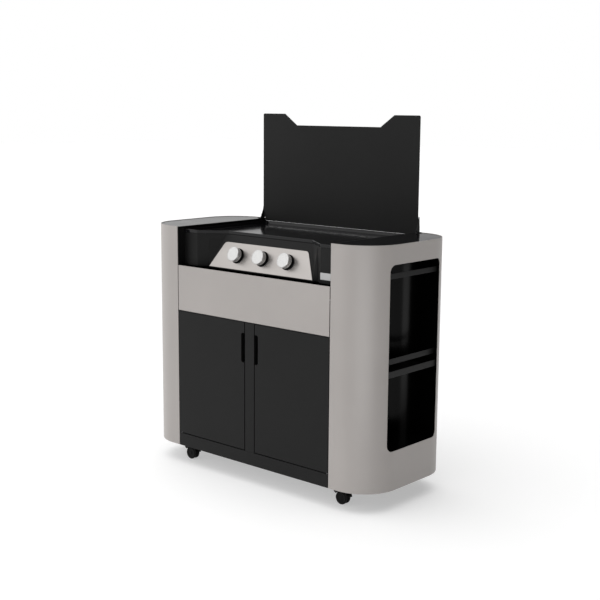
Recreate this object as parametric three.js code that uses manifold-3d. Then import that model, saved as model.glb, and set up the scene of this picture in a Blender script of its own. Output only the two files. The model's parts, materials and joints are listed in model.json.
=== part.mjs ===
// Gas griddle on a rolling cabinet: two rounded end units with open niches, a bay between them with
// a shallow griddle pan, a leaning control panel, a drawer and two doors, and a lid that stands up
// behind the pan. Millimetres, +Z up, front towards -Y, origin on the floor under the middle.

import * as THREE from "three";
import { mergeVertices } from "three/addons/utils/BufferGeometryUtils.js";
import Module from "manifold-3d";

const wasm = await Module();
wasm.setup();

// ------------------------------------------------------------------ driving dimensions

const LENGTH = 1082; // cabinet, end to end
const DEPTH = 474; // cabinet, front to back
const CORNER = 137; // plan radius of the end units
const COUNTER = 900; // floor to the top edge of the end shells
const BOTTOM = 72; // floor to the bottom edge of the cabinet
const BAY = 366.6; // half the bay between the two end shells
const SHEET = 2; // steel sheet of the cabinet
const FIT = 0.3; // gap between pieces that touch
const REVEAL = 3.3; // visible seam round the doors and the drawer front

const FRONT = -DEPTH / 2;
const BACK = DEPTH / 2;
const PANEL_OUT = BAY - FIT; // bay side panel, outer face
const PANEL_IN = PANEL_OUT - SHEET; // bay side panel, inner face
const BAY_FIT = PANEL_IN - FIT; // half width of pieces that fill the bay

// end units
const COUNTER_DROP = 1.3; // counter top below the shell's edge
const NICHE_HALF = 139; // half the niche opening, front to back
const NICHE_LOW = 208;
const NICHE_HIGH = 834.5;
const NICHE_RADIUS = 24;
const LINER = 1.5; // liner and shelf sheet
const LINER_GAP = 2; // liner wall outside the opening's edge
const LINER_DEEP = 371; // |x| of the liner's back
const LINER_FILLET = 90;
const LIP = 22; // upturned lip of the shelf
const SHELF_LOW = 457;
const SHELF_OUT = 529; // |x| of the lip's outer face
const MIDDLE_RAIL = { out: 518, low: 498.5, high: 518 };
const UPPER_RAIL = { out: 522, low: 785, high: 803 };
const VENT_ROWS = [200, 230, 260]; // vent slots in the back panel
const VENT_COLUMNS = [-240, -120, 0, 120, 240];
const VENT_HALF = 40;
const VENT_RADIUS = 5;

// floor, divider, post, doors
const PLINTH = 48; // height of the plinth face
const PLINTH_TOP = BOTTOM + PLINTH;
const DIVIDER_LOW = 587.3;
const DIVIDER_HIGH = 590.2;
const DOOR_LOW = PLINTH_TOP + REVEAL;
const DOOR_HIGH = DIVIDER_LOW - 0.6;
const DOOR_THICK = 18;
const DOOR_SHEET = 1.5;
const DOOR_IN = 25.5; // |x| of the door edge beside the post
const DOOR_OUT = BAY - REVEAL; // |x| of the hinged edge
const POST_HALF = 22;
const GRIP_WIDE = 15; // finger cut-out in the door edge
const GRIP_LOW = 443;
const GRIP_HIGH = 549;
const GRIP_CHAMFER = 5;
const PIN_INSET = 6; // hinge pin from both outer faces of the door
const PIN_RADIUS = 2.5;
const PIN_CLEAR = 0.4;
const PIN_LENGTH = 12;

// drawer
const DRAWER_LOW = DIVIDER_HIGH + 0.3;
const DRAWER_TOP = 757;
const DRAWER_HEM = 5; // hem along the top edge, used as the pull
const DRAWER_FOOT = 15; // bottom flange, carries the box
const DRAWER_SHEET = 1.5;
const BOX_HALF = 338;
const BOX_BACK = 190;
const BOX_HIGH = 705.2;
const RUNNER_HALF = 358; // |x| of the box's side flanges
const RUNNER_LIP = 3.4;
const RUNNER_FRONT = -212;
const RUNNER_BACK = 200;

// griddle pan and control panel
const RIM = 889; // top of the pan's rim
const RIM_LIP = 11.7; // height of the rim's outer lip
const PAN_FLOOR = 877.5;
const PAN_SHEET = 4;
const PAN_SLOPE = 5; // run of the sloped pan walls
const RIM_WIDTH = 3;
const APRON_LOW = 757.5;
const APRON_SHEET = 2.5;
const CHEEK_Y = FRONT + 32.5; // front plane of the two cheeks beside the controls
const CHEEK_IN = 295; // |x| where the cheeks turn back
const VALLEY_X = 262; // vertical fold between cheek and control panel
const VALLEY_Y = -181;
const LEAN_LOW_Y = -190; // control panel at its bottom edge
const LEAN_HIGH_Y = -136; // and at rim height
const LEAN_LOW_HALF = 250;
const LEAN_HIGH_HALF = 200;
const RIM_PROUD = 1.5; // rim lip in front of the apron
const LEAN_RUN = LEAN_HIGH_Y - LEAN_LOW_Y;
const LEAN_RISE = RIM - APRON_LOW;
const LEAN = Math.atan(LEAN_RUN / LEAN_RISE); // control panel from vertical

const PLATE_LOW = 3; // control plate, measured up the panel
const PLATE_HIGH = 100;
const PLATE_LOW_HALF = 247.5;
const PLATE_HIGH_HALF = 197;
const PLATE_RADIUS = 17;
const PLATE_THICK = 2;

const KNOB_SPACING = 120;
const KNOB_UP = 52.8; // knob centre, measured up the panel
const KNOB_RADIUS = 26.5;
const KNOB_SKIRT = 24.5;
const KNOB_BACK = 10; // knob's back face, measured out from the panel
const KNOB_FACE = 31;
const KNOB_EDGE = 2;
const KNOB_COLLAR = 6; // wide collar at the face, and the slope behind it
const KNOB_SLOPE = 2;
const BEZEL_RADIUS = 28;
const BEZEL_THICK = 3.5;
const BEZEL_EDGE = 1;
const STEM_RADIUS = 4;
const STEM_CLEAR = 0.3;
const STEM_HOLE = STEM_RADIUS + 2;
const STEM_IN = -22; // inner end of the stem in the valve
const STEM_OUT = 24; // outer end inside the knob
const VALVE_RADIUS = 11;
const VALVE_DEEP = -34;
const VALVE_WALL = 4;
const PIPE_RADIUS = 8;
const PIPE_AXIS = VALVE_DEEP + 10;
const PIPE_END = KNOB_SPACING + 60;
const INLET = { radius: 11, bore: 6, length: 22, sides: 6 };

// firebox and burners
const FIREBOX = { half: 345, front: -120, back: 214, low: 770, sheet: 2 };
const BURNER_Z = 793;
const BURNER_TALL = 22;
const BURNER_HALF = 32;
const BURNER_FRONT = -35;
const BURNER_BACK = 170;
const VENTURI_RADIUS = 12;
const VENTURI_FRONT = -133;
const VENTURI_WALL = 3;
const VENTURI_CLEAR = 2; // play of the venturi in the firebox
const VENTURI_MOUTH = 78; // depth of its open end

// badge on the right cheek
const BADGE = { left: CHEEK_IN + 1, right: BAY_FIT - 7, low: 770.5, high: 794, thick: 1.5, radius: 2 };

// lid
const LID_HALF = 374;
const LID_TOP = 1307.6;
const LID_NOTCH_Z = 1264.5;
const LID_EAR_IN = 262;
const LID_NOTCH_HALF = 200.5;
const LID_SHEET = 2.5;
const LID_CORNER = 6;
const LID_LOW = 902.2; // lower edge above the end shells
const LID_TAB_LOW = 890.1; // lower edge between them
const LID_TAB_HALF = 363;
const HINGE_Y = BACK - 1.5;
const HINGE_Z = 907;
const KNUCKLE_RADIUS = 4;
const LID_OFFSET = 4.6; // hinge axis behind the lid's front face
const KNUCKLE_IN = 345;
const LID_PIN_RADIUS = 2;
const LID_PIN_IN = 356;
const BRACKET_GAP = 0.4;
const BRACKET_REACH = 20; // foot in front of the hinge
const BRACKET_KNEE = 32; // bend and top of the front edge, above the cabinet
const BRACKET_HIGH = 54;
const BRACKET_BACK = 5; // web behind the hinge pin and in front of it at the bend
const BRACKET_TOP = { front: -1, back: 2 }; // web's upper edge, from the hinge
const BRACKET_PAD = 14; // width of the screw foot
const LID_BORE_DEEPER = 3; // bore beyond the pin's end

// casters
const CASTER_X = 372; // middle of the wheels, which all trail towards the right end
const CASTER_Y = 163;
const TRAIL = 16; // swivel axis to axle
const WHEEL_RADIUS = 23;
const WHEEL_HALF = 13.7; // half the width over both treads
const WHEEL_INNER = 3.2;
const WHEEL_EDGE = 3;
const AXLE_RADIUS = 3;
const FIN_HALF = 2.5;
const HOOD_IN = 26; // hood radii round the axle
const HOOD_OUT = 30;
const HOOD_FROM = 10; // hood's ends in degrees: low behind the wheels, high under the swivel
const HOOD_TO = 150;
const SWIVEL_RADIUS = 20;
const SWIVEL_LOW = 36;
const SWIVEL_CHAMFER = 6;
const COLLAR_RADIUS = 12;
const COLLAR_RISE = 4; // slope between housing and collar
const FIN_WALL = 4; // fin round the axle
const BEAM_HALF = 31;
const BEAM_END = 195;
const BEAM_CORNER = 8;

// ------------------------------------------------------------------ looks

const PAINT = { color: 0xaaa5a1, roughness: 0.45, metalness: 0.1 };
const COUNTER_BLACK = { color: 0x2b2b2c, roughness: 0.25, metalness: 0.1 };
const BLACK = { color: 0x26262a, roughness: 0.5, metalness: 0.1 };
const LINER_BLACK = { color: 0x151515, roughness: 0.4, metalness: 0.1 };
const ENAMEL = { color: 0x18181a, roughness: 0.12, metalness: 0.2 };
const STAINLESS = { color: 0xbfbab7, roughness: 0.35, metalness: 0.9 };
const CHROME = { color: 0xd8d7d6, roughness: 0.2, metalness: 0.9 };
const RAW_STEEL = { color: 0x6f6f70, roughness: 0.55, metalness: 0.8 };
const BRASS = { color: 0xa88a4a, roughness: 0.4, metalness: 0.9 };
const BADGE_GREY = { color: 0xababab, roughness: 0.5, metalness: 0.3 };
const NYLON = { color: 0x141414, roughness: 0.6, metalness: 0 };

// ------------------------------------------------------------------ helpers

const X = new THREE.Vector3(1, 0, 0);
const Y = new THREE.Vector3(0, 1, 0);
const Z = new THREE.Vector3(0, 0, 1);
const SIDES = [["left", -1], ["right", 1]];

function addMesh(parent, name, geometry, look) {
  const mesh = new THREE.Mesh(geometry, new THREE.MeshStandardMaterial(look));
  mesh.name = name;
  parent.add(mesh);
  return mesh;
}

function extrude(points, depth, holes = []) {
  const toPath = (list) => list.map(([a, b]) => new THREE.Vector2(a, b));
  const shape = new THREE.Shape(toPath(points));
  shape.holes = holes.map((hole) => new THREE.Path(toPath(hole)));
  return new THREE.ExtrudeGeometry(shape, { depth, bevelEnabled: false });
}

/** Prism of an [x, y] outline between two heights. */
function prismZ(points, low, high, holes) {
  return extrude(points, high - low, holes).translate(0, 0, low);
}

/** Prism of a [y, z] outline between two x positions, in either order. */
function prismX(points, from, to, holes) {
  const turned = extrude(points, Math.abs(to - from), holes);
  turned.applyMatrix4(new THREE.Matrix4().makeBasis(Y, Z, X));
  return turned.translate(Math.min(from, to), 0, 0);
}

/** Prism of an [x, z] outline between a front and a back y position. */
function prismY(points, front, back, holes) {
  const turned = extrude(points, back - front, holes);
  turned.applyMatrix4(new THREE.Matrix4().makeBasis(X, Z, Y.clone().negate()));
  return turned.translate(0, back, 0);
}

function box(x0, x1, y0, y1, z0, z1) {
  const geometry = new THREE.BoxGeometry(Math.abs(x1 - x0), y1 - y0, z1 - z0);
  return geometry.translate((x0 + x1) / 2, (y0 + y1) / 2, (z0 + z1) / 2);
}

/** Closed cylinder along X, Y or Z ("x", "y", "z") between two stations on that axis. */
function rod(axis, radius, from, to, segments = 24) {
  const geometry = new THREE.CylinderGeometry(radius, radius, Math.abs(to - from), segments);
  geometry.translate(0, (from + to) / 2, 0);
  if (axis === "x") geometry.rotateZ(-Math.PI / 2);
  if (axis === "z") geometry.rotateX(Math.PI / 2);
  return geometry;
}

/** Turned piece round local Z: profile points are [radius, z]. */
function turned(profile, segments) {
  const points = profile.map(([radius, along]) => new THREE.Vector2(radius, along));
  return new THREE.LatheGeometry(points, segments).rotateX(Math.PI / 2);
}

/** Points on an arc from one angle to another, in degrees, both ends included. */
function arc(cx, cy, radius, from, to, steps) {
  return Array.from({ length: steps + 1 }, (_, i) => {
    const angle = THREE.MathUtils.degToRad(from + ((to - from) * i) / steps);
    return [cx + radius * Math.cos(angle), cy + radius * Math.sin(angle)];
  });
}

function roundedRectangle(left, right, low, high, radius, steps) {
  return [
    ...arc(right - radius, high - radius, radius, 0, 90, steps),
    ...arc(left + radius, high - radius, radius, 90, 180, steps),
    ...arc(left + radius, low + radius, radius, 180, 270, steps),
    ...arc(right - radius, low + radius, radius, 270, 360, steps),
  ];
}

const mirrored = (points, side) => points.map(([x, y]) => [side * x, y]);

function solid(geometry) {
  const bare = geometry.clone();
  bare.deleteAttribute("normal");
  bare.deleteAttribute("uv");
  const merged = mergeVertices(bare);
  const vertProperties = merged.attributes.position.array;
  const triVerts = Uint32Array.from(merged.index.array);
  return new wasm.Manifold(new wasm.Mesh({ numProp: 3, vertProperties, triVerts }));
}

function geometryOf(manifold) {
  const mesh = manifold.getMesh();
  const geometry = new THREE.BufferGeometry();
  geometry.setAttribute("position", new THREE.BufferAttribute(mesh.vertProperties, 3));
  geometry.setIndex(new THREE.BufferAttribute(mesh.triVerts, 1));
  const faceted = geometry.toNonIndexed();
  faceted.computeVertexNormals();
  return faceted;
}

function join(...geometries) {
  return geometryOf(geometries.map(solid).reduce((sum, next) => sum.add(next)));
}

function cut(geometry, ...cutters) {
  return geometryOf(cutters.map(solid).reduce((rest, next) => rest.subtract(next), solid(geometry)));
}

function intersect(geometry, other) {
  return geometryOf(solid(geometry).intersect(solid(other)));
}

// ------------------------------------------------------------------ end units

/** Half of the cabinet's rounded plan from |x| = inner outwards, inset from the outer skin. */
function endOutline(side, inset, inner) {
  const cx = LENGTH / 2 - CORNER;
  const cy = DEPTH / 2 - CORNER;
  const radius = CORNER - inset;
  const steps = 16;
  return mirrored([
    [inner, -cy - radius],
    ...arc(cx, -cy, radius, -90, 0, steps),
    ...arc(cx, cy, radius, 0, 90, steps),
    [inner, cy + radius],
  ], side);
}

function endShell(side) {
  const skin = endOutline(side, 0, BAY);
  const inside = endOutline(side, SHEET, BAY).reverse();
  const sheet = prismZ([...skin, ...inside], BOTTOM, COUNTER);
  const opening = roundedRectangle(
    -NICHE_HALF, NICHE_HALF, NICHE_LOW, NICHE_HIGH, NICHE_RADIUS, 8);
  return cut(sheet, prismX(opening, side * BAY, side * LENGTH));
}

function counterTop(side) {
  const top = COUNTER - COUNTER_DROP;
  return prismZ(endOutline(side, SHEET + FIT, BAY), top - SHEET, top);
}

/** Plan of the niche from its mouth to its rounded back, grown outwards by `grow`. */
function nicheOutline(side, grow, mouth) {
  const half = NICHE_HALF + LINER_GAP + grow;
  const deep = LINER_DEEP + LINER - grow;
  const radius = LINER_FILLET + grow;
  const steps = 12;
  return mirrored([
    [mouth, half],
    ...arc(deep + radius, half - radius, radius, 90, 180, steps),
    ...arc(deep + radius, radius - half, radius, 180, 270, steps),
    [mouth, -half],
  ], side);
}

function nicheLiner(side) {
  const low = NICHE_LOW - LINER_GAP;
  const high = NICHE_HIGH + LINER_GAP;
  const outer = prismZ(nicheOutline(side, LINER, LENGTH / 2), low - LINER, high + LINER);
  const hollow = prismZ(nicheOutline(side, 0, LENGTH), low, high);
  const room = prismZ(endOutline(side, SHEET + FIT, 0), BOTTOM, COUNTER);
  return intersect(cut(outer, hollow), room);
}

function nicheShelf(side) {
  const tray = prismZ(nicheOutline(side, -FIT, SHELF_OUT), SHELF_LOW, SHELF_LOW + LINER);
  const half = NICHE_HALF + LINER_GAP - FIT;
  const lip = box(side * (SHELF_OUT - LINER), side * SHELF_OUT, -half, half,
    SHELF_LOW, SHELF_LOW + LIP);
  return join(tray, lip);
}

function nicheRail(side, rail) {
  const half = NICHE_HALF + LINER_GAP - FIT;
  return box(side * (rail.out - SHEET), side * rail.out, -half, half, rail.low, rail.high);
}

// ------------------------------------------------------------------ cabinet

/** Side wall of the bay, notched back where the door's hinged edge turns. */
function baySidePanel(side) {
  const front = FRONT + SHEET + FIT;
  const back = BACK - SHEET - FIT;
  const notch = FRONT + DOOR_THICK;
  const outline = [
    [notch, BOTTOM + SHEET + FIT],
    [back, BOTTOM + SHEET + FIT],
    [back, COUNTER - COUNTER_DROP],
    [front, COUNTER - COUNTER_DROP],
    [front, DIVIDER_HIGH],
    [notch, DIVIDER_HIGH],
  ];
  return prismX(outline, side * PANEL_IN, side * PANEL_OUT);
}

function basePlate() {
  const inset = SHEET + FIT;
  const right = endOutline(1, inset, 0);
  const left = endOutline(-1, inset, 0).reverse();
  return prismZ([...right, ...left], BOTTOM, BOTTOM + SHEET);
}

/** Cabinet floor and plinth, folded from one sheet. */
function floorPan() {
  const back = BACK - SHEET - FIT;
  const outline = [
    [FRONT, BOTTOM],
    [FRONT + SHEET, BOTTOM],
    [FRONT + SHEET, PLINTH_TOP - SHEET],
    [back, PLINTH_TOP - SHEET],
    [back, PLINTH_TOP],
    [FRONT, PLINTH_TOP],
  ];
  return prismX(outline, -BAY_FIT, BAY_FIT);
}

function backPanel() {
  const slots = [];
  for (const z of VENT_ROWS) {
    for (const x of VENT_COLUMNS) {
      slots.push(roundedRectangle(
        x - VENT_HALF, x + VENT_HALF, z - VENT_RADIUS, z + VENT_RADIUS, VENT_RADIUS, 4));
    }
  }
  const half = BAY - FIT;
  const outline = [[-half, BOTTOM], [half, BOTTOM], [half, RIM], [-half, RIM]];
  return prismY(outline, BACK - SHEET, BACK, slots);
}

function divider() {
  return box(-BAY_FIT, BAY_FIT, FRONT + 1, BACK - SHEET - FIT, DIVIDER_LOW, DIVIDER_HIGH);
}

/** Channel-section post between the doors. */
function centrePost() {
  const web = FRONT + SHEET;
  const back = FRONT + DOOR_THICK;
  const flange = POST_HALF - SHEET;
  const outline = [
    [-POST_HALF, FRONT],
    [POST_HALF, FRONT],
    [POST_HALF, back],
    [flange, back],
    [flange, web],
    [-flange, web],
    [-flange, back],
    [-POST_HALF, back],
  ];
  return prismZ(outline, PLINTH_TOP + FIT, DIVIDER_LOW - FIT);
}

// ------------------------------------------------------------------ doors

/** Door outline with the chamfered finger cut-out in its inner edge. */
function doorOutline(side, inset) {
  const inner = DOOR_IN + inset;
  const outer = DOOR_OUT - inset;
  const grip = DOOR_IN + GRIP_WIDE + inset;
  const low = GRIP_LOW - inset;
  const high = GRIP_HIGH + inset;
  return mirrored([
    [inner, DOOR_LOW + inset],
    [outer, DOOR_LOW + inset],
    [outer, DOOR_HIGH - inset],
    [inner, DOOR_HIGH - inset],
    [inner, high],
    [grip - GRIP_CHAMFER, high],
    [grip, high - GRIP_CHAMFER],
    [grip, low + GRIP_CHAMFER],
    [grip - GRIP_CHAMFER, low],
    [inner, low],
  ], side);
}

function pinPlace(side) {
  return [side * (DOOR_OUT - PIN_INSET), FRONT + PIN_INSET];
}

function door(side) {
  const back = FRONT + DOOR_THICK;
  const body = prismY(doorOutline(side, 0), FRONT, back);
  const pocket = prismY(doorOutline(side, DOOR_SHEET), FRONT + DOOR_SHEET, back + DOOR_SHEET);
  const bore = rod("z", PIN_RADIUS + PIN_CLEAR, BOTTOM, COUNTER);
  bore.translate(...pinPlace(side), 0);
  return cut(body, pocket, bore);
}

function doorPin(side, low) {
  return rod("z", PIN_RADIUS, low, low + PIN_LENGTH).translate(...pinPlace(side), 0);
}

// ------------------------------------------------------------------ drawer

function drawerFront() {
  const web = FRONT + DRAWER_SHEET;
  const foot = FRONT + DRAWER_FOOT;
  const hem = FRONT + DRAWER_HEM;
  const outline = [
    [FRONT, DRAWER_LOW],
    [foot, DRAWER_LOW],
    [foot, DRAWER_LOW + DRAWER_SHEET],
    [web, DRAWER_LOW + DRAWER_SHEET],
    [web, DRAWER_TOP - DRAWER_SHEET],
    [hem, DRAWER_TOP - DRAWER_SHEET],
    [hem, DRAWER_TOP],
    [FRONT, DRAWER_TOP],
  ];
  return prismX(outline, -DOOR_OUT, DOOR_OUT);
}

/** Open box with side flanges that slide in the runners. */
function drawerBox() {
  const front = FRONT + DRAWER_SHEET + FIT;
  const low = DRAWER_LOW + DRAWER_SHEET + FIT;
  const wall = DRAWER_SHEET;
  const tub = box(-BOX_HALF, BOX_HALF, front, BOX_BACK, low, BOX_HIGH);
  const flanges = box(-RUNNER_HALF, RUNNER_HALF, front, BOX_BACK, BOX_HIGH - wall, BOX_HIGH);
  const inner = BOX_HALF - wall;
  const hollow = box(-inner, inner, front + wall, BOX_BACK - wall, low + wall, COUNTER);
  return cut(join(tub, flanges), hollow);
}

/** Channel on the bay side that carries the drawer's flange. */
function drawerRunner(side) {
  const low = BOX_HIGH - DRAWER_SHEET - FIT - RUNNER_LIP;
  const high = BOX_HIGH + FIT + RUNNER_LIP;
  const web = BAY_FIT - SHEET;
  const reach = BOX_HALF + SHEET;
  const outline = mirrored([
    [reach, low],
    [BAY_FIT, low],
    [BAY_FIT, high],
    [reach, high],
    [reach, high - RUNNER_LIP],
    [web, high - RUNNER_LIP],
    [web, low + RUNNER_LIP],
    [reach, low + RUNNER_LIP],
  ], side);
  return prismY(outline, RUNNER_FRONT, RUNNER_BACK);
}

// ------------------------------------------------------------------ griddle

/** Plan of the pan: its front edge follows the cheeks and the recessed control panel. */
function panOutline(inset) {
  const cheek = CHEEK_Y - RIM_PROUD;
  const centre = LEAN_HIGH_Y - RIM_PROUD;
  const bend = Math.atan2(centre - cheek, CHEEK_IN - LEAN_HIGH_HALF);
  const shift = inset * Math.tan(bend / 2);
  const half = BAY_FIT - inset;
  const back = BACK - SHEET - 2 * FIT - inset;
  const rightFront = [
    [LEAN_HIGH_HALF + shift, centre + inset],
    [CHEEK_IN + shift, cheek + inset],
    [half, cheek + inset],
    [half, back],
  ];
  return [...rightFront, ...mirrored(rightFront, -1).reverse()];
}

/** Shallow pan with sloped walls and a lipped rim. */
function griddlePan() {
  const under = RIM_PROUD + APRON_SHEET + FIT;
  const rim = prismZ(panOutline(0), RIM - RIM_LIP, RIM);
  const body = prismZ(panOutline(under), PAN_FLOOR - PAN_SHEET, RIM - RIM_LIP / 2);
  const toPath = panOutline(RIM_WIDTH).map(([x, y]) => new THREE.Vector2(x, y));
  const hollow = new THREE.ExtrudeGeometry(new THREE.Shape(toPath), {
    depth: PAN_SHEET,
    bevelThickness: RIM - PAN_FLOOR,
    bevelSize: PAN_SLOPE,
    bevelOffset: -PAN_SLOPE,
    bevelSegments: 1,
  }).translate(0, 0, RIM);
  return cut(join(rim, body), hollow);
}

/** Folded sheet: columns give [x, y] at the bottom edge and at the top edge. */
function foldedSheet(columns, low, high, thickness) {
  const last = columns.length - 1;
  const sheet = new THREE.BoxGeometry(last, 1, 1, last, 1, 1);
  const position = sheet.attributes.position;
  for (let i = 0; i < position.count; i += 1) {
    const column = columns[Math.round(position.getX(i) + last / 2)];
    const top = position.getZ(i) > 0;
    const [x, y] = top ? column.top : column.bottom;
    const behind = position.getY(i) > 0 ? thickness : 0;
    position.setXYZ(i, x, y + behind, top ? high : low);
  }
  sheet.computeVertexNormals();
  return sheet;
}

const controls = new THREE.Group();
controls.position.set(0, LEAN_LOW_Y, APRON_LOW);
controls.rotation.x = Math.PI / 2 - LEAN;
controls.updateMatrix();

/** Sheet below the pan's rim: two cheeks and the leaning control panel between them. */
function controlApron() {
  const high = RIM - RIM_LIP - FIT;
  const part = (high - APRON_LOW) / LEAN_RISE;
  const topHalf = THREE.MathUtils.lerp(LEAN_LOW_HALF, LEAN_HIGH_HALF, part);
  const topY = THREE.MathUtils.lerp(LEAN_LOW_Y, LEAN_HIGH_Y, part);
  const straight = (x, y) => ({ bottom: [x, y], top: [x, y] });
  const right = [
    { bottom: [LEAN_LOW_HALF, LEAN_LOW_Y], top: [topHalf, topY] },
    straight(VALLEY_X, VALLEY_Y),
    straight(CHEEK_IN, CHEEK_Y),
    straight(BAY_FIT, CHEEK_Y),
  ];
  const left = right.map(({ bottom, top }) => ({
    bottom: [-bottom[0], bottom[1]],
    top: [-top[0], top[1]],
  })).reverse();
  const sheet = foldedSheet([...left, ...right], APRON_LOW, high, APRON_SHEET);
  const holes = knobPlaces().map((x) => {
    const hole = rod("z", STEM_HOLE, -PLATE_RADIUS, PLATE_RADIUS);
    return hole.translate(x, KNOB_UP, 0).applyMatrix4(controls.matrix);
  });
  return cut(sheet, ...holes);
}

function knobPlaces() {
  return [-KNOB_SPACING, 0, KNOB_SPACING];
}

/** Trapezoid plate on the leaning panel, with its two upper corners rounded. */
function controlPlate() {
  const slant = Math.atan2(PLATE_HIGH - PLATE_LOW, PLATE_LOW_HALF - PLATE_HIGH_HALF);
  const setback = PLATE_RADIUS * Math.tan((Math.PI - slant) / 2 - Math.PI / 4 + slant / 4);
  const centre = PLATE_HIGH_HALF - setback;
  const upTo = 90 - THREE.MathUtils.radToDeg(slant);
  const corner = arc(centre, PLATE_HIGH - PLATE_RADIUS, PLATE_RADIUS, upTo, 90, 8);
  const right = [[PLATE_LOW_HALF, PLATE_LOW], ...corner];
  const outline = [...right, ...mirrored(right, -1).reverse()];
  const hole = (x) => arc(x, KNOB_UP, STEM_HOLE, 0, 345, 23);
  const low = FIT;
  return prismZ(outline, low, low + PLATE_THICK, knobPlaces().map(hole));
}

function bezel() {
  const back = PLATE_THICK + 2 * FIT;
  const front = back + BEZEL_THICK;
  return turned([
    [STEM_HOLE, back],
    [BEZEL_RADIUS, back],
    [BEZEL_RADIUS, front - BEZEL_EDGE],
    [BEZEL_RADIUS - BEZEL_EDGE, front],
    [STEM_HOLE, front],
    [STEM_HOLE, back],
  ], 40);
}

/** Knob with a blind bore for the stem. */
function knob() {
  const bore = STEM_RADIUS + STEM_CLEAR;
  return turned([
    [0, STEM_OUT + FIT],
    [bore, STEM_OUT + FIT],
    [bore, KNOB_BACK],
    [KNOB_SKIRT, KNOB_BACK],
    [KNOB_SKIRT, KNOB_FACE - KNOB_COLLAR - KNOB_SLOPE],
    [KNOB_RADIUS, KNOB_FACE - KNOB_COLLAR],
    [KNOB_RADIUS, KNOB_FACE - KNOB_EDGE],
    [KNOB_RADIUS - KNOB_EDGE, KNOB_FACE],
    [0, KNOB_FACE],
  ], 40);
}

/** Gas pipe with the three valve bodies on it and an inlet at its right end. */
function gasManifold() {
  const onAxis = (geometry) => geometry.translate(0, KNOB_UP, PIPE_AXIS);
  const tip = PIPE_END + INLET.length;
  const pipe = onAxis(rod("x", PIPE_RADIUS, -PIPE_END, PIPE_END));
  const inlet = onAxis(rod("x", INLET.radius, PIPE_END - SHEET, tip, INLET.sides));
  const inletBore = onAxis(rod("x", INLET.bore, PIPE_END, tip + SHEET));
  const bodies = [];
  const bores = [inletBore];
  for (const x of knobPlaces()) {
    const body = rod("z", VALVE_RADIUS, VALVE_DEEP, -APRON_SHEET - SHEET);
    bodies.push(body.translate(x, KNOB_UP, 0));
    const bore = rod("z", STEM_RADIUS + STEM_CLEAR, VALVE_DEEP + VALVE_WALL, 0);
    bores.push(bore.translate(x, KNOB_UP, 0));
  }
  return cut(join(pipe, inlet, ...bodies), ...bores);
}

function firebox() {
  const { half, front, back, low, sheet } = FIREBOX;
  const high = PAN_FLOOR - PAN_SHEET - FIT;
  const tub = box(-half, half, front, back, low, high);
  const hollow = box(-half + sheet, half - sheet, front + sheet, back - sheet, low + sheet, COUNTER);
  const holes = knobPlaces().map((x) => {
    const hole = rod("y", VENTURI_RADIUS + VENTURI_CLEAR, front - sheet, front + 2 * sheet);
    return hole.translate(x, 0, BURNER_Z);
  });
  return cut(tub, hollow, ...holes);
}

/** Bar burner along Y with its venturi tube reaching forward to the valve. */
function burner() {
  const half = BURNER_TALL / 2;
  const outline = roundedRectangle(
    -BURNER_HALF, BURNER_HALF, BURNER_FRONT, BURNER_BACK, BURNER_HALF / 2, 5);
  const bar = prismZ(outline, -half, half);
  const venturi = rod("y", VENTURI_RADIUS, VENTURI_FRONT, BURNER_FRONT + BURNER_HALF);
  const mouth = rod(
    "y", VENTURI_RADIUS - VENTURI_WALL, VENTURI_FRONT - FIT, VENTURI_FRONT + VENTURI_MOUTH);
  return join(bar, cut(venturi, mouth));
}

function badgePlate() {
  const { left, right, low, high, thick, radius } = BADGE;
  const outline = roundedRectangle(left, right, low, high, radius, 3);
  return prismY(outline, CHEEK_Y - FIT - thick, CHEEK_Y - FIT);
}

// ------------------------------------------------------------------ lid

/** Lid standing up: ears at the top edge, knuckles at the bottom edge. */
function lid() {
  const right = [
    [LID_TAB_HALF, LID_TAB_LOW],
    [LID_TAB_HALF, LID_LOW],
    [LID_HALF, LID_LOW],
    ...arc(LID_HALF - LID_CORNER, LID_TOP - LID_CORNER, LID_CORNER, 0, 90, 4),
    [LID_EAR_IN, LID_TOP],
    [LID_NOTCH_HALF, LID_NOTCH_Z],
  ];
  const outline = [...right, ...mirrored(right, -1).reverse()];
  const sheetFront = HINGE_Y - LID_OFFSET;
  const sheet = prismY(outline, sheetFront, sheetFront + LID_SHEET);
  const knuckles = [];
  const bores = [];
  for (const [, side] of SIDES) {
    const knuckle = rod("x", KNUCKLE_RADIUS, side * KNUCKLE_IN, side * LID_HALF);
    knuckles.push(knuckle.translate(0, HINGE_Y, HINGE_Z));
    const bore = rod("x", LID_PIN_RADIUS + PIN_CLEAR, side * (LID_PIN_IN - LID_BORE_DEEPER), side * LENGTH);
    bores.push(bore.translate(0, HINGE_Y, HINGE_Z));
  }
  return cut(join(sheet, ...knuckles), ...bores);
}

/** Gusset on the counter with its riveted hinge pin and a screw foot. */
function lidBracket(side) {
  const inner = LID_HALF + BRACKET_GAP;
  const outer = inner + SHEET;
  const foot = COUNTER - COUNTER_DROP + FIT;
  const front = HINGE_Y - BRACKET_REACH;
  const high = COUNTER + BRACKET_HIGH;
  const web = prismX([
    [front, COUNTER + FIT],
    [HINGE_Y + BRACKET_BACK, COUNTER + FIT],
    [HINGE_Y + BRACKET_BACK, HINGE_Z + BRACKET_BACK],
    [HINGE_Y + BRACKET_TOP.back, high],
    [HINGE_Y + BRACKET_TOP.front, high],
    [HINGE_Y - BRACKET_BACK, COUNTER + BRACKET_KNEE],
  ], side * inner, side * outer);
  const pad = box(side * inner, side * (outer + BRACKET_PAD), front, BACK - SHEET - 1,
    foot, foot + SHEET);
  const pin = rod("x", LID_PIN_RADIUS, side * LID_PIN_IN, side * (inner + SHEET / 2));
  return join(web, pad, pin.translate(0, HINGE_Y, HINGE_Z));
}

// ------------------------------------------------------------------ casters

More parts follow.
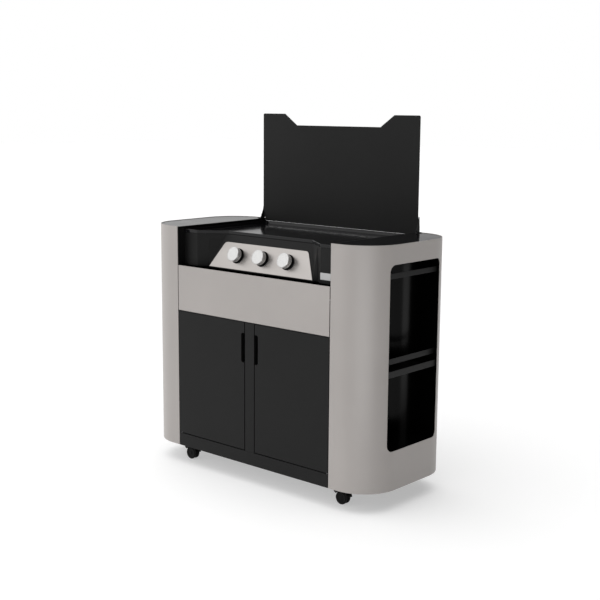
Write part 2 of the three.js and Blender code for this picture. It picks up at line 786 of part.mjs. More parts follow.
function casterBeam(side) {
  const centre = side * CASTER_X;
  const outline = roundedRectangle(
    centre - BEAM_HALF, centre + BEAM_HALF, -BEAM_END, BEAM_END, BEAM_CORNER, 3);
  return prismZ(outline, BOTTOM - FIT - SHEET, BOTTOM - FIT);
}

/** Two treads on one axle, turned round Y. */
function casterWheels() {
  const tread = (from, to) => {
    const inward = Math.sign(to - from);
    return [
      [WHEEL_RADIUS - WHEEL_EDGE, from],
      [WHEEL_RADIUS - 1, from + inward],
      [WHEEL_RADIUS, from + inward * WHEEL_EDGE],
      [WHEEL_RADIUS, to - inward * 2],
      [WHEEL_RADIUS - 2, to],
    ];
  };
  const left = tread(-WHEEL_HALF, -WHEEL_INNER);
  const right = tread(WHEEL_HALF, WHEEL_INNER).reverse();
  const profile = [
    [0, -WHEEL_HALF],
    ...left,
    [AXLE_RADIUS, -WHEEL_INNER],
    [AXLE_RADIUS, WHEEL_INNER],
    ...right,
    [0, WHEEL_HALF],
  ];
  return turned(profile, 32).rotateX(-Math.PI / 2);
}

/** Hood over both treads, a fin between them for the axle, and the swivel housing with its collar. */
function casterFork() {
  const steps = 12;
  const across = (points, half) => prismY(points, -half, half);
  const hood = across([
    ...arc(TRAIL, WHEEL_RADIUS, HOOD_OUT, HOOD_FROM, HOOD_TO, steps),
    ...arc(TRAIL, WHEEL_RADIUS, HOOD_IN, HOOD_TO, HOOD_FROM, steps),
  ], WHEEL_HALF);
  const high = WHEEL_RADIUS + HOOD_OUT;
  const housing = turned([
    [0, SWIVEL_LOW],
    [SWIVEL_RADIUS - SWIVEL_CHAMFER, SWIVEL_LOW],
    [SWIVEL_RADIUS, SWIVEL_LOW + SWIVEL_CHAMFER],
    [SWIVEL_RADIUS, high - 1],
    [COLLAR_RADIUS, high - 1 + COLLAR_RISE],
    [COLLAR_RADIUS, BOTTOM - SHEET - 2 * FIT],
    [0, BOTTOM - SHEET - 2 * FIT],
  ], 32);
  const room = rod("y", HOOD_IN, -CASTER_Y, CASTER_Y, 48).translate(TRAIL, 0, WHEEL_RADIUS);
  const fin = across([
    ...arc(TRAIL, WHEEL_RADIUS, HOOD_IN + 1, HOOD_FROM + 10, HOOD_TO - 5, steps),
    ...arc(TRAIL, WHEEL_RADIUS, AXLE_RADIUS + FIN_WALL, 200, 340, 6),
  ], FIN_HALF);
  const eye = rod("y", AXLE_RADIUS + STEM_CLEAR, -WHEEL_HALF, WHEEL_HALF);
  eye.translate(TRAIL, 0, WHEEL_RADIUS);
  return cut(join(cut(join(hood, housing), room), fin), eye);
}

// ------------------------------------------------------------------ assembly

const grill = new THREE.Group();

for (const [name, side] of SIDES) {
  addMesh(grill, `end_shell_${name}`, endShell(side), PAINT);
  addMesh(grill, `counter_top_${name}`, counterTop(side), COUNTER_BLACK);
  addMesh(grill, `niche_liner_${name}`, nicheLiner(side), LINER_BLACK);
  addMesh(grill, `niche_shelf_${name}`, nicheShelf(side), BLACK);
  addMesh(grill, `niche_rail_middle_${name}`, nicheRail(side, MIDDLE_RAIL), BLACK);
  addMesh(grill, `niche_rail_upper_${name}`, nicheRail(side, UPPER_RAIL), BLACK);
  addMesh(grill, `bay_side_panel_${name}`, baySidePanel(side), BLACK);
}

addMesh(grill, "base_plate", basePlate(), BLACK);
addMesh(grill, "floor_pan", floorPan(), BLACK);
addMesh(grill, "back_panel", backPanel(), BLACK);
addMesh(grill, "bay_divider", divider(), BLACK);
addMesh(grill, "centre_post", centrePost(), BLACK);

for (const [name, side] of SIDES) {
  addMesh(grill, `door_${name}`, door(side), BLACK);
  addMesh(grill, `door_pin_${name}_lower`, doorPin(side, PLINTH_TOP + FIT), RAW_STEEL);
  addMesh(grill, `door_pin_${name}_upper`, doorPin(side, DIVIDER_LOW - FIT - PIN_LENGTH), RAW_STEEL);
  addMesh(grill, `drawer_runner_${name}`, drawerRunner(side), RAW_STEEL);
}
addMesh(grill, "drawer_front", drawerFront(), PAINT);
addMesh(grill, "drawer_box", drawerBox(), BLACK);

addMesh(grill, "griddle_pan", griddlePan(), ENAMEL);
addMesh(grill, "control_apron", controlApron(), BLACK);
addMesh(grill, "badge_plate", badgePlate(), BADGE_GREY);
addMesh(grill, "firebox", firebox(), RAW_STEEL);

grill.add(controls);
addMesh(controls, "control_plate", controlPlate(), STAINLESS);
addMesh(controls, "gas_manifold", gasManifold(), BRASS);
knobPlaces().forEach((x, i) => {
  const place = ["left", "centre", "right"][i];
  addMesh(grill, `burner_${place}`, burner(), RAW_STEEL).position.set(x, 0, BURNER_Z);
  const spot = new THREE.Group();
  spot.position.set(x, KNOB_UP, 0);
  controls.add(spot);
  addMesh(spot, `knob_bezel_${place}`, bezel(), NYLON);
  addMesh(spot, `valve_stem_${place}`, rod("z", STEM_RADIUS, STEM_IN, STEM_OUT), RAW_STEEL);
  addMesh(spot, `knob_${place}`, knob(), CHROME);
});

addMesh(grill, "lid", lid(), BLACK);
for (const [name, side] of SIDES) {
  addMesh(grill, `lid_bracket_${name}`, lidBracket(side), BLACK);
  addMesh(grill, `caster_beam_${name}`, casterBeam(side), BLACK);
  for (const [end, facing] of [["front", -1], ["rear", 1]]) {
    const swivel = new THREE.Group();
    swivel.position.set(side * CASTER_X - TRAIL, facing * CASTER_Y, 0);
    grill.add(swivel);
    addMesh(swivel, `caster_fork_${end}_${name}`, casterFork(), NYLON);
    const wheels = addMesh(swivel, `caster_wheels_${end}_${name}`, casterWheels(), NYLON);
    wheels.position.set(TRAIL, 0, WHEEL_RADIUS);
  }
}

export default grill;
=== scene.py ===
"""Looks of the gas griddle: finishes, fine surfaces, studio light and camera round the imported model."""

import json
import math

import bmesh
import bpy
from mathutils import Matrix, Vector

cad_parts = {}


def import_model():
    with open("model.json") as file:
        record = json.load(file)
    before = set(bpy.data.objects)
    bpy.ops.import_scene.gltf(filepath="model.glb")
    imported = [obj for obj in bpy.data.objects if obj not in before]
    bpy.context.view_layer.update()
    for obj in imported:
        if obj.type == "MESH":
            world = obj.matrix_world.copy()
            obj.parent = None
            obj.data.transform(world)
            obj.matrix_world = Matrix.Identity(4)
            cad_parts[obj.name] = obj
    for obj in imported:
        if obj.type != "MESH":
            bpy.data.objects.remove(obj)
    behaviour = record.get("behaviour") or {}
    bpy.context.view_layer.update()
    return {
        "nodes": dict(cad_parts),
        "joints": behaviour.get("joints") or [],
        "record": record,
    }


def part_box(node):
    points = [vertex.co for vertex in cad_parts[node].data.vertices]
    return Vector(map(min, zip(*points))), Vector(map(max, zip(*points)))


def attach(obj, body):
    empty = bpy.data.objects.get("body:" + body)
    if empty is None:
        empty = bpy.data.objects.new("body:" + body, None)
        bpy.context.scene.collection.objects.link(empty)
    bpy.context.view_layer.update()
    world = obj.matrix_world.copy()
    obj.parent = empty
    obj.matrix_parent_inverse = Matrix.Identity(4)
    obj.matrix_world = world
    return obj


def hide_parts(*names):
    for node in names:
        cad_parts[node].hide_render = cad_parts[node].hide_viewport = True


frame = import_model()

# ------------------------------------------------------------------ dimensions, in metres

MM = 0.001
SIDES = (("left", -1), ("right", 1))
PLACES = ("left", "centre", "right")
ENDS = ("front", "rear")
TOUCHING = 1e-6  # closer than this counts as the same place

CORNER = 137 * MM  # plan radius of the end units
CORNER_STEP = 3  # degrees from one column of the shell's corner to the next
SHEET = 2 * MM
NICHE_HALF = 139 * MM  # niche opening, half its width
NICHE_LOW = 208 * MM
NICHE_HIGH = 834.5 * MM
NICHE_MIDDLE = (NICHE_LOW + NICHE_HIGH) / 2
NICHE_HALF_TALL = (NICHE_HIGH - NICHE_LOW) / 2
NICHE_RADIUS = 24 * MM

SHEET_EDGE = 0.5 * MM  # rounding of a piece that FINE_EDGE doesn't name
FINE_EDGE = {
    "griddle_pan": 1.2 * MM,
    "firebox": 0.4 * MM,
    "lid": 0.7 * MM,
}
SHELL_EDGE = 0.8 * MM
WELD_REACH = 0.01 * MM
FLAT_WITHIN = 0.8  # degrees: neighbouring faces that turn by less are joined into one
SHARP_FROM = 35  # degrees: edges that turn by more are rounded

CAMERA_PLACE = Vector((2.6773, -3.0105, 1.3352))
CAMERA_AZIMUTH = 41.371  # this and the next two in degrees
CAMERA_DOWN = 9.7793
CAMERA_ROLL = 0.4344
CAMERA_LENS = 67.35  # this and the sensor's width in millimetres
CAMERA_SENSOR = 36.0
CAMERA_REACH = 100.0

ROOM_BRIGHT_SIDE = (-0.82, -0.57, 0.0)
ROOM_DARK_FROM = -0.45  # share of the bright direction where the room starts to give light
ROOM_HIGH = 1.55  # strength of the room's light from its bright side
OVERHEAD_POWER = 1.6
OVERHEAD_SPREAD = 70.0  # degrees
SOFTBOX_PLACE = Vector((1.05, -0.99, 0.42))
SOFTBOX_WIDE = 0.9
SOFTBOX_HIGH = 0.8
SOFTBOX_POWER = 5.0  # watts
FLOOR_HALF = 30.0
FLOOR_WHITE = 0.62
FLOOR_GLOW = 0.42

# ------------------------------------------------------------------ node helpers


class Finish:
    """A material under construction: its node tree, its shader and short ways to add nodes."""

    def __init__(self, name, color, roughness, metallic=0.0):
        self.color = color
        self.roughness = roughness
        self.material = bpy.data.materials.new(name)
        self.material.use_nodes = True
        self.tree = self.material.node_tree
        self.shader = self.tree.nodes["Principled BSDF"]
        self.set(**{"Base Color": (*color, 1.0), "Roughness": roughness, "Metallic": metallic})
        self.place = self.node("ShaderNodeTexCoord").outputs["Object"]

    def set(self, **values):
        for socket, value in values.items():
            self.shader.inputs[socket].default_value = value

    def node(self, kind, inputs=None, **settings):
        made = self.tree.nodes.new(kind)
        for key, value in settings.items():
            setattr(made, key, value)
        for key, value in (inputs or {}).items():
            if isinstance(value, bpy.types.NodeSocket):
                self.tree.links.new(value, made.inputs[key])
            else:
                made.inputs[key].default_value = value
        return made

    def link(self, output, socket):
        self.tree.links.new(output, self.shader.inputs[socket])

    def scaled(self, x, y, z):
        """Object coordinates stretched along the axes, for streaks."""
        made = self.node("ShaderNodeMapping", {"Vector": self.place, "Scale": (x, y, z)})
        return made.outputs["Vector"]

    def noise(self, scale, detail=4.0, rough=0.5, where=None):
        made = self.node(
            "ShaderNodeTexNoise",
            {"Vector": where or self.place, "Scale": scale, "Detail": detail, "Roughness": rough},
        )
        return made.outputs["Fac"]

    def between(self, texture, low, high, spread=(0.3, 0.7)):
        """A number that goes from low to high while the texture goes through its spread."""
        made = self.node(
            "ShaderNodeMapRange",
            {"Value": texture, "From Min": spread[0], "From Max": spread[1],
             "To Min": low, "To Max": high},
        )
        return made.outputs["Result"]

    def vary_tone(self, texture, darkest, lightest, **spread):
        """Lets the colour follow a texture between two multiples of itself."""
        share = self.between(texture, 0.0, 1.0, **spread)
        made = self.node("ShaderNodeMix", data_type="RGBA")
        self.tree.links.new(share, made.inputs["Factor"])
        made.inputs["A"].default_value = (*shade(self.color, darkest), 1.0)
        made.inputs["B"].default_value = (*shade(self.color, lightest), 1.0)
        self.link(made.outputs["Result"], "Base Color")

    def vary_sheen(self, texture, smoothest, roughest):
        """Lets the roughness follow a texture between two multiples of itself."""
        low = self.roughness * smoothest
        high = self.roughness * roughest
        self.link(self.between(texture, low, high), "Roughness")

    def bump(self, texture, strength, depth):
        made = self.node(
            "ShaderNodeBump", {"Height": texture, "Strength": strength, "Distance": depth})
        self.link(made.outputs["Normal"], "Normal")


def shade(color, factor):
    return tuple(min(1.0, channel * factor) for channel in color)


# ------------------------------------------------------------------ finishes


def powder_coat(name, color, roughness, gloss=0.5):
    """Sprayed and baked paint: fine orange peel, slight cloudiness in tone and gloss."""
    finish = Finish(name, color, roughness)
    finish.set(**{"Specular IOR Level": gloss})
    cloud = finish.noise(3.0, detail=3.0)
    finish.vary_tone(cloud, darkest=0.96, lightest=1.04)
    finish.vary_sheen(cloud, smoothest=0.92, roughest=1.08)
    peel = finish.noise(1400.0, detail=2.0, rough=0.6)
    finish.bump(peel, strength=0.35, depth=0.06 * MM)
    return finish.material


def gloss_enamel(name, color, roughness, ior):
    """Fired enamel: almost mirror smooth, with a faint long wave and fine dust."""
    finish = Finish(name, color, roughness)
    finish.set(**{"IOR": ior})
    haze = finish.noise(9.0, detail=6.0)
    finish.vary_tone(haze, darkest=0.9, lightest=1.15)
    finish.vary_sheen(haze, smoothest=0.85, roughest=1.25)
    wave = finish.noise(14.0, detail=1.0)
    finish.bump(wave, strength=0.2, depth=0.12 * MM)
    return finish.material


def brushed_metal(name, color, roughness, stretch):
    """Rolled sheet with fine streaks along one axis."""
    finish = Finish(name, color, roughness, metallic=1.0)
    finish.set(**{"Anisotropic": 0.5})
    streak = finish.noise(60.0, detail=6.0, rough=0.65, where=finish.scaled(*stretch))
    finish.vary_tone(streak, darkest=0.93, lightest=1.05)
    finish.vary_sheen(streak, smoothest=0.8, roughest=1.25)
    finish.bump(streak, strength=0.15, depth=0.03 * MM)
    return finish.material


def galvanised(name, color):
    """Zinc spangle: large faint crystals."""
    finish = Finish(name, color, roughness=0.45, metallic=0.9)
    cells = finish.node("ShaderNodeTexVoronoi", {"Vector": finish.place, "Scale": 90.0})
    fine = finish.noise(300.0, detail=3.0)
    finish.vary_tone(cells.outputs["Distance"], darkest=0.85, lightest=1.1, spread=(0.0, 0.6))
    finish.link(finish.between(fine, low=0.35, high=0.55), "Roughness")
    finish.bump(fine, strength=0.2, depth=0.04 * MM)
    return finish.material


def turned_metal(name, color, roughness, metallic=1.0):
    """Machined or spun metal with a fine, even tool mark."""
    finish = Finish(name, color, roughness, metallic)
    fine = finish.noise(2500.0, detail=2.0)
    finish.vary_tone(fine, darkest=0.97, lightest=1.03)
    finish.vary_sheen(fine, smoothest=0.9, roughest=1.15)
    finish.bump(fine, strength=0.1, depth=0.006 * MM)
    return finish.material


def moulded(name, color, roughness):
    """Moulded plastic with a faint spark-eroded grain."""
    finish = Finish(name, color, roughness)
    finish.set(**{"Specular IOR Level": 0.12})
    cloud = finish.noise(20.0, detail=3.0)
    finish.vary_tone(cloud, darkest=0.9, lightest=1.15)
    finish.vary_sheen(cloud, smoothest=0.9, roughest=1.1)
    grain = finish.noise(900.0, detail=2.0)
    finish.bump(grain, strength=0.3, depth=0.05 * MM)
    return finish.material


FINISHES = {
    "warm_grey_paint": powder_coat("warm_grey_paint", (0.36, 0.335, 0.32), 0.42),
    "black_counter": gloss_enamel("black_counter", (0.004, 0.004, 0.0045), 0.14, ior=1.22),
    "black_paint": powder_coat("black_paint", (0.004, 0.004, 0.004), 0.5, gloss=0.18),
    "niche_black": powder_coat("niche_black", (0.001, 0.001, 0.001), 0.22, gloss=0.085),
    "griddle_enamel": gloss_enamel("griddle_enamel", (0.004, 0.004, 0.0045), 0.11, ior=1.35),
    "brushed_steel": brushed_metal("brushed_steel", (0.447, 0.423, 0.405), 0.38, (1.0, 30.0, 30.0)),
    "knob_chrome": turned_metal("knob_chrome", (0.56, 0.557, 0.55), 0.26, metallic=0.8),
    "galvanised": galvanised("galvanised", (0.42, 0.42, 0.43)),
    "brass": turned_metal("brass", (0.55, 0.40, 0.16), 0.35),
    "badge_grey": brushed_metal("badge_grey", (0.42, 0.42, 0.42), 0.4, (1.0, 20.0, 20.0)),
    "black_nylon": moulded("black_nylon", (0.0012, 0.0012, 0.0012), 0.5),
}

# ------------------------------------------------------------------ mesh helpers


def add_modifier(piece, kind, **settings):
    modifier = piece.modifiers.new(kind.title(), kind)
    for key, value in settings.items():
        setattr(modifier, key, value)


def round_edges(piece, width, segments=2, sharp_from=SHARP_FROM, miter="MITER_ARC"):
    """Rounds the edges that turn by more than an angle and keeps the flat faces flat."""
    add_modifier(
        piece, "BEVEL", width=width, segments=segments, limit_method="ANGLE",
        angle_limit=math.radians(sharp_from), miter_outer=miter)
    add_modifier(piece, "WEIGHTED_NORMAL", keep_sharp=True)


def make_piece(name, built, slot, body, *replaced):
    """Turns a bmesh into a smoothly shaded piece that rides on a body and stands for CAD nodes."""
    mesh = bpy.data.meshes.new(name)
    for face in built.faces:
        face.smooth = True
    built.to_mesh(mesh)
    built.free()
    mesh.materials.append(FINISHES[slot])
    piece = bpy.data.objects.new(name, mesh)
    bpy.context.scene.collection.objects.link(piece)
    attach(piece, body)
    if replaced:
        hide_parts(*replaced)
    return piece


def lathe(profile, origin, axis, segments=96, ripple=None):
    """Surface turned round an axis.

    The profile is (radius, station) pairs; ripple(angle, i) is a factor on the radius of pair i.
    """
    axis = Vector(axis).normalized()
    turn = Vector((0, 0, 1)).rotation_difference(axis).to_matrix()
    built = bmesh.new()
    rings = []
    for i, (radius, station) in enumerate(profile):
        ring = []
        count = segments if radius > TOUCHING else 1
        for k in range(count):
            angle = 2 * math.pi * k / segments
            r = radius * (ripple(angle, i) if ripple else 1.0)
            local = Vector((r * math.cos(angle), r * math.sin(angle), station))
            ring.append(built.verts.new(Vector(origin) + turn @ local))
        rings.append(ring)
    for low, high in zip(rings, rings[1:]):
        for k in range(segments):
            corners = [low[k % len(low)], low[(k + 1) % len(low)],
                       high[(k + 1) % len(high)], high[k % len(high)]]
            unique = list(dict.fromkeys(corners))
            if len(unique) > 2:
                built.faces.new(unique)
    bmesh.ops.recalc_face_normals(built, faces=built.faces)
    return built


# ------------------------------------------------------------------ carried-over CAD nodes


def carry_over(name, slot, bevel):
    """Gives a CAD node its finish and rounded, smoothly shaded edges; its mesh stays as it is.

    The modifiers join the flat faces, so that only real edges are rounded, and then split the
    many-sided ones again, because the bevel would fold a ring-shaped face over its own hole.
    """
    node = frame["nodes"][name]
    mesh = node.data
    for extra in ("custom_normal", "sharp_edge", "sharp_face"):
        if extra in mesh.attributes:
            mesh.attributes.remove(mesh.attributes[extra])
    for face in mesh.polygons:
        face.use_smooth = True
    mesh.materials.clear()
    mesh.materials.append(FINISHES[slot])
    add_modifier(node, "WELD", merge_threshold=WELD_REACH)
    add_modifier(
        node, "DECIMATE", decimate_type="DISSOLVE", angle_limit=math.radians(FLAT_WITHIN))
    add_modifier(node, "TRIANGULATE", min_vertices=5)
    round_edges(node, bevel)


for part in frame["record"]["subparts"]:
    carry_over(part["node"], part["material_slot"], FINE_EDGE.get(part["node"], SHEET_EDGE))

# ------------------------------------------------------------------ end shells


def shell_stations(side):
    """Plan of the shell from its front edge round to its back edge, with the niche's columns."""
    low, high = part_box(f"end_shell_{side}")
    half = high.y
    outer = max(abs(low.x), abs(high.x))
    inner = min(abs(low.x), abs(high.x))
    cx = outer - CORNER
    cy = half - CORNER
    angles = {math.radians(degrees) for degrees in range(0, 91, CORNER_STEP)}
    for y in corner_steps(NICHE_HALF):
        angles.add(math.asin((y - cy) / CORNER))
    front = [(cx + CORNER * math.cos(a), -cy - CORNER * math.sin(a)) for a in sorted(angles)]
    front = [(inner, -half)] + front[::-1]
    back = [(x, -y) for x, y in front[::-1]]
    return front + back


def corner_steps(edge, steps=10):
    """Positions of a rounded corner's points, from its start to the straight edge."""
    start = edge - NICHE_RADIUS
    return [start + NICHE_RADIUS * math.sin(math.radians(90 * k / steps))
            for k in range(steps + 1)]


def in_niche(y, z):
    """True strictly inside the niche's rounded opening."""
    dy = abs(y) - (NICHE_HALF - NICHE_RADIUS)
    dz = abs(z - NICHE_MIDDLE) - (NICHE_HALF_TALL - NICHE_RADIUS)
    if dy <= 0 or dz <= 0:
        return max(dy, dz) < NICHE_RADIUS - TOUCHING
    return math.hypot(dy, dz) < NICHE_RADIUS - TOUCHING


def end_shell(side, sign):
    """Thin shell round one end of the cabinet: a grid with the niche's rounded opening left out."""
    low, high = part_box(f"end_shell_{side}")
    stations = shell_stations(side)
    rows = {low.z, high.z}
    for offset in corner_steps(NICHE_HALF_TALL):
        rows |= {NICHE_MIDDLE + offset, NICHE_MIDDLE - offset}
    rows = sorted(rows)
    built = bmesh.new()
    grid = [[built.verts.new((sign * x, y, z)) for z in rows] for x, y in stations]
    for i in range(len(stations) - 1):
        for j in range(len(rows) - 1):
            cell = [grid[i][j], grid[i + 1][j], grid[i + 1][j + 1], grid[i][j + 1]]
            kept = [v for v in cell if not in_niche(v.co.y, v.co.z)]
            if len(kept) > 2:
                built.faces.new(kept if sign > 0 else kept[::-1])
    loose = [v for v in built.verts if not v.link_faces]
    bmesh.ops.delete(built, geom=loose, context="VERTS")
    piece = make_piece(f"shell_skin_{side}", built, "warm_grey_paint", "cabinet",
                       f"end_shell_{side}")
    add_modifier(piece, "SOLIDIFY", thickness=SHEET, offset=-1.0, use_even_offset=True)
    round_edges(piece, SHELL_EDGE, segments=3)


for side_name, side_sign in SIDES:
    end_shell(side_name, side_sign)

# ------------------------------------------------------------------ knobs

KNOB_RADIUS = 26.5 * MM
KNOB_TALL = 21 * MM
KNOB_BORE = 4.3 * MM
KNOB_FOOT = 1.5 * MM  # height of the black foot
KNOB_GRIP = KNOB_RADIUS - 1.5 * MM  # radius of the fluted grip
KNOB_GROOVES = ((8.0 * MM, 9.4 * MM), (14.4 * MM, 15.8 * MM))  # round the grip, from and to
KNOB_GROOVE_RADIUS = KNOB_GRIP - 1.6 * MM
KNOB_RING_RADIUS = KNOB_GRIP - 0.8 * MM  # the black ring fills its groove to half its depth
KNOB_RING_GAP = 0.1 * MM
KNOB_COLLAR_LOW = 16.2 * MM
KNOB_COLLAR_HIGH = 16.8 * MM
KNOB_CHAMFER = 0.6 * MM
KNOB_EDGE = 0.15 * MM
KNOB_SHARP_FROM = 40  # degrees
KNOB_FLUTES = 36
KNOB_FLUTE_POINTS = 6  # points round each flute
KNOB_FLUTE_DEPTH = 0.02  # share of the radius


def joint(name):
    return next(j for j in frame["joints"] if j["name"] == name)


def knob_face():
    """Profile of the spun face from its rim to its middle: a bright rim, a ring and a shallow dish."""
    slope = 0.9 * MM
    rim = KNOB_RADIUS - slope
    dish = 0.6 * MM
    ring = KNOB_TALL - 0.3 * dish
    return [
        (KNOB_RADIUS, KNOB_TALL - slope),
        (rim, KNOB_TALL),
        (rim - 1.2 * MM, KNOB_TALL),
        (rim - 1.9 * MM, KNOB_TALL - dish),
        (0.62 * KNOB_RADIUS, KNOB_TALL - dish),
        (0.60 * KNOB_RADIUS, ring),
        (0.54 * KNOB_RADIUS, ring),
        (0.52 * KNOB_RADIUS, KNOB_TALL - dish),
        (0.0, KNOB_TALL - 1.3 * dish),
    ]


def knob_grip():
    """Profile of the grip from its bore to below the collar, with the grooves cut in."""
    profile = [
        (KNOB_BORE, KNOB_FOOT),
        (KNOB_GRIP - KNOB_CHAMFER, KNOB_FOOT),
        (KNOB_GRIP, KNOB_FOOT + KNOB_CHAMFER),
    ]
    for low, high in KNOB_GROOVES:
        profile += [
            (KNOB_GRIP, low),
            (KNOB_GROOVE_RADIUS, low),
            (KNOB_GROOVE_RADIUS, high),
            (KNOB_GRIP, high),
        ]
    return profile


def washer(inner, outer, low, high):
    """Closed profile of a plain ring."""
    return [(inner, low), (outer, low), (outer, high), (inner, high), (inner, low)]


def knob(place):
    """Gas knob: black foot, fluted grip with two dark grooves, bright collar, spun face."""
    turn = joint(f"knob_{place}_turn")
    grip = knob_grip()
    collar = [(KNOB_RADIUS - 0.3 * MM, KNOB_COLLAR_LOW), (KNOB_RADIUS, KNOB_COLLAR_HIGH)]
    fluted = range(2, len(grip))  # the grip's wall and grooves, above the chamfer of its foot

    def ripple(angle, i):
        if i not in fluted:
            return 1.0
        return 1.0 - KNOB_FLUTE_DEPTH * (0.5 + 0.5 * math.cos(KNOB_FLUTES * angle))

    def turned(name, profile, slot, *replaced, **shape):
        built = lathe(profile, turn["pos_m"], turn["axis"], **shape)
        piece = make_piece(name, built, slot, f"knob_{place}", *replaced)
        round_edges(piece, KNOB_EDGE, sharp_from=KNOB_SHARP_FROM, miter="MITER_SHARP")

    turned(f"knob_body_{place}", grip + collar + knob_face(), "knob_chrome", f"knob_{place}",
           segments=KNOB_FLUTES * KNOB_FLUTE_POINTS, ripple=ripple)
    foot_top = KNOB_FOOT - 0.3 * MM
    foot = [
        (KNOB_BORE, 0.0),
        (KNOB_GRIP - 2 * KNOB_CHAMFER, 0.0),
        (KNOB_GRIP - KNOB_CHAMFER, KNOB_CHAMFER),
        (KNOB_GRIP - KNOB_CHAMFER, foot_top),
        (KNOB_BORE, foot_top),
        (KNOB_BORE, 0.0),
    ]
    turned(f"knob_foot_{place}", foot, "black_nylon")
    for low, high in KNOB_GROOVES:
        ring = washer(KNOB_GROOVE_RADIUS + KNOB_RING_GAP, KNOB_RING_RADIUS,
                      low + KNOB_RING_GAP, high - KNOB_RING_GAP)
        turned(f"knob_ring_{place}_{round(low / MM)}", ring, "black_nylon")


for place_name in PLACES:
    knob(place_name)

# ------------------------------------------------------------------ casters

TREAD_GAP = 3.2 * MM  # half the gap between a caster's two treads
AXLE_RADIUS = 3 * MM
HUB_SHARE = 0.72  # radius of the recessed hub, as a share of the wheel's


def tread_profile(radius, half):
    """Outline of one tread, from the axle on its inner face round to its cap on the outer face."""
    hub = HUB_SHARE * radius
    inner_face = [
        (AXLE_RADIUS, TREAD_GAP),
        (radius - 6 * MM, TREAD_GAP),
        (radius - 2.5 * MM, TREAD_GAP + 0.3 * MM),
        (radius - 0.7 * MM, TREAD_GAP + 1.4 * MM),
    ]
    running_face = [
        (radius, TREAD_GAP + 3.3 * MM),
        (radius, half - 3.2 * MM),
        (radius - 0.6 * MM, half - 1.5 * MM),
        (radius - 2 * MM, half - 0.4 * MM),
        (radius - 3.5 * MM, half),
    ]
    recess = [
        (hub + 0.8 * MM, half - 0.2 * MM),
        (hub, half - 1.1 * MM),
        (hub - 0.8 * MM, half - 1.7 * MM),
    ]
    cap = [
        (2.5 * AXLE_RADIUS, half - 2.1 * MM),
        (2.1 * AXLE_RADIUS, half - 1.3 * MM),
        (1.9 * AXLE_RADIUS, half - 0.6 * MM),
        (0.0, half - 0.3 * MM),
    ]
    return inner_face + running_face + recess + cap


def caster_wheels(end, side):
    """Two rounded treads with recessed hubs on one axle."""
    roll = joint(f"caster_{end}_{side}_roll")
    low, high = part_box(f"caster_wheels_{end}_{side}")
    one = tread_profile((high.z - low.z) / 2, (high.y - low.y) / 2)
    profile = [(r, -z) for r, z in one[::-1]] + one
    built = lathe(profile, roll["pos_m"], roll["axis"], segments=64)
    piece = make_piece(f"caster_tread_{end}_{side}", built, "black_nylon",
                       f"caster_wheels_{end}_{side}", f"caster_wheels_{end}_{side}")
    add_modifier(piece, "WEIGHTED_NORMAL", keep_sharp=True)


for side_name, _ in SIDES:
    for end_name in ENDS:
        caster_wheels(end_name, side_name)

# ------------------------------------------------------------------ studio


def floor():
    """White studio floor with a faint glow of its own, so that it runs into the backdrop."""
    built = bmesh.new()
    bmesh.ops.create_grid(built, x_segments=1, y_segments=1, size=FLOOR_HALF)
    mesh = bpy.data.meshes.new("studio_floor")
    built.to_mesh(mesh)
    built.free()
    finish = Finish("studio_white", (FLOOR_WHITE,) * 3, roughness=0.9)
    finish.set(**{"Emission Color": (1, 1, 1, 1), "Emission Strength": FLOOR_GLOW})
    finish.bump(finish.noise(40.0), strength=0.02, depth=0.5 * MM)
    mesh.materials.append(finish.material)
    piece = bpy.data.objects.new("studio_floor", mesh)
    bpy.context.scene.collection.objects.link(piece)


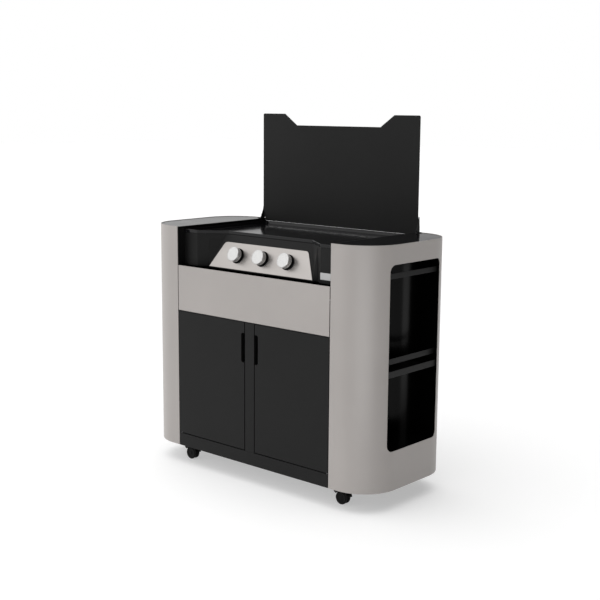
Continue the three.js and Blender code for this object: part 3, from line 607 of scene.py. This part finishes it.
def world():
    """White for the camera; for light and reflections, a room that is brighter at the front left."""
    made = bpy.data.worlds.new("studio")
    bpy.context.scene.world = made
    made.use_nodes = True
    tree = made.node_tree
    tree.nodes.clear()

    def node(kind, **settings):
        item = tree.nodes.new(kind)
        for key, value in settings.items():
            setattr(item, key, value)
        return item

    direction = node("ShaderNodeTexCoord").outputs["Generated"]
    facing = node("ShaderNodeVectorMath", operation="DOT_PRODUCT")
    tree.links.new(direction, facing.inputs[0])
    facing.inputs[1].default_value = ROOM_BRIGHT_SIDE
    strength = node("ShaderNodeMapRange")
    tree.links.new(facing.outputs["Value"], strength.inputs["Value"])
    strength.inputs["From Min"].default_value = ROOM_DARK_FROM
    strength.inputs["From Max"].default_value = 1.0
    strength.inputs["To Min"].default_value = 0.0
    strength.inputs["To Max"].default_value = ROOM_HIGH
    room = node("ShaderNodeBackground")
    tree.links.new(strength.outputs["Result"], room.inputs["Strength"])
    backdrop = node("ShaderNodeBackground")
    for background in (room, backdrop):
        background.inputs["Color"].default_value = (1, 1, 1, 1)
    mix = node("ShaderNodeMixShader")
    ray = node("ShaderNodeLightPath")
    out = node("ShaderNodeOutputWorld")
    tree.links.new(ray.outputs["Is Camera Ray"], mix.inputs["Fac"])
    tree.links.new(room.outputs["Background"], mix.inputs[1])
    tree.links.new(backdrop.outputs["Background"], mix.inputs[2])
    tree.links.new(mix.outputs["Shader"], out.inputs["Surface"])


def overhead_light():
    """Very soft light from straight above: a white floor with soft contact shadows."""
    data = bpy.data.lights.new("overhead", "SUN")
    data.energy = OVERHEAD_POWER
    data.angle = math.radians(OVERHEAD_SPREAD)
    lamp = bpy.data.objects.new("overhead", data)
    lamp.visible_glossy = False
    bpy.context.scene.collection.objects.link(lamp)


def front_softbox():
    """Upright panel of light near the front right corner, seen only in reflections."""
    data = bpy.data.lights.new("front_softbox", "AREA")
    data.shape = "RECTANGLE"
    data.size = SOFTBOX_WIDE
    data.size_y = SOFTBOX_HIGH
    data.energy = SOFTBOX_POWER
    lamp = bpy.data.objects.new("front_softbox", data)
    aim = Vector((0.0, 0.0, SOFTBOX_HIGH / 2))
    lamp.location = SOFTBOX_PLACE
    lamp.rotation_euler = (lamp.location - aim).to_track_quat("Z", "Y").to_euler()
    lamp.visible_camera = False
    lamp.visible_diffuse = False
    bpy.context.scene.collection.objects.link(lamp)


def camera():
    """Camera as fitted to the photograph: its place, where it looks and how far it leans."""
    azimuth = math.radians(CAMERA_AZIMUTH)
    down = math.radians(CAMERA_DOWN)
    roll = math.radians(CAMERA_ROLL)
    back = Vector((
        math.sin(azimuth) * math.cos(down),
        -math.cos(azimuth) * math.cos(down),
        math.sin(down),
    ))
    level = Vector((math.cos(azimuth), math.sin(azimuth), 0))
    upright = back.cross(level)
    right = level * math.cos(roll) + upright * math.sin(roll)
    up = upright * math.cos(roll) - level * math.sin(roll)
    data = bpy.data.cameras.new("camera")
    data.lens = CAMERA_LENS
    data.sensor_width = CAMERA_SENSOR
    data.clip_end = CAMERA_REACH
    made = bpy.data.objects.new("camera", data)
    turn = Matrix((right, up, back)).transposed().to_4x4()
    made.matrix_world = Matrix.Translation(CAMERA_PLACE) @ turn
    bpy.context.scene.collection.objects.link(made)
    bpy.context.scene.camera = made


floor()
world()
overhead_light()
front_softbox()
camera()
bpy.context.scene.view_settings.view_transform = "Standard"
